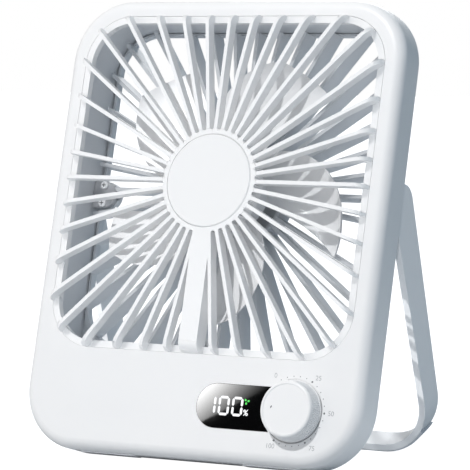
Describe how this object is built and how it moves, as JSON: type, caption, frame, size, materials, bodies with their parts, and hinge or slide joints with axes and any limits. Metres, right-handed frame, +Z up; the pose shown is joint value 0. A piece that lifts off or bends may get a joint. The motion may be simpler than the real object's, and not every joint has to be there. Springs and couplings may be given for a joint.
{
  "type": "rechargeable desk fan",
  "caption": "Flat rechargeable desk fan with a radial front grille, a lit display, a knurled speed dial and a fold-out hoop stand that leans it back.",
  "frame": {"origin": "on the ground under the middle of the leaning fan with its stand open", "axes": "+Z up, +Y to the back, towards the stand, +X to the right seen from the front"},
  "size_m": [0.152, 0.0894, 0.1814],
  "materials": {
    "shell_white": "satin moulded plastic",
    "grille_white": "satin moulded plastic",
    "impeller_white": "glossy moulded plastic",
    "lens_black": "glossy tinted acrylic",
    "dial_white": "satin moulded plastic",
    "hoop_white": "satin powder coat",
    "rubber_grey": "satin rubber",
    "silicone_pale": "matt silicone",
    "bracket_grey": "moulded plastic",
    "steel": "plated steel",
    "board_green": "solder mask",
    "module_black": "moulded plastic",
    "shaft_grey": "moulded plastic",
    "cell_foil": "pouch foil",
    "stator_iron": "laminated steel",
    "copper": "enamelled copper wire",
    "magnet_dark": "bonded ferrite",
    "motor_base_alloy": "die casting",
    "lead_white": "cable jacket"
  },
  "bodies": {
    "housing": {"front_shell": "shell_white", "front_grille": "grille_white", "hub_cap": "grille_white", "rear_shell": "shell_white", "rear_grille": "grille_white", "display_lens": "lens_black", "display_module": "module_black", "control_board": "board_green", "dial_pot": "module_black", "usb_c_socket": "steel", "battery_pack": "cell_foil", "motor_base": "motor_base_alloy", "motor_board": "board_green", "motor_stator": "stator_iron", "motor_coils": "copper", "motor_screws": "steel", "front_bearing": "steel", "rear_bearing": "steel", "motor_lead": "lead_white", "motor_plug": "module_black", "shell_screws": "steel", "board_screws": "steel", "hinge_bracket_right": "bracket_grey", "hinge_bracket_left": "bracket_grey", "hinge_screws": "steel", "base_feet": "silicone_pale"},
    "dial": {"dial_knob": "dial_white", "dial_shaft": "shaft_grey"},
    "rotor": {"impeller": "impeller_white", "rotor_can": "steel", "rotor_magnet": "magnet_dark", "motor_shaft": "steel", "shaft_clip": "steel"},
    "stand": {"stand_hoop": "hoop_white", "stand_foot_strip": "rubber_grey", "hinge_pin_right": "steel", "hinge_pin_left": "steel", "friction_washer_right": "shaft_grey", "friction_washer_left": "shaft_grey"}
  },
  "joints": [
    {"name": "impeller_spin", "type": "hinge", "parent": "housing", "child": "rotor", "pos_m": [0, -0.01298, 0.10952], "axis": [0, 0.966, -0.2585], "continuous": true},
    {"name": "dial_turn", "type": "hinge", "parent": "housing", "child": "dial", "pos_m": [0.0474, -0.03575, 0.02442], "axis": [0, 0.966, -0.2585], "range_deg": [0, 300]},
    {"name": "stand_fold", "type": "hinge", "parent": "housing", "child": "stand", "pos_m": [0, 0.00672, 0.10187], "axis": [1, 0, 0], "range_deg": [-33, 57]}
  ]
}
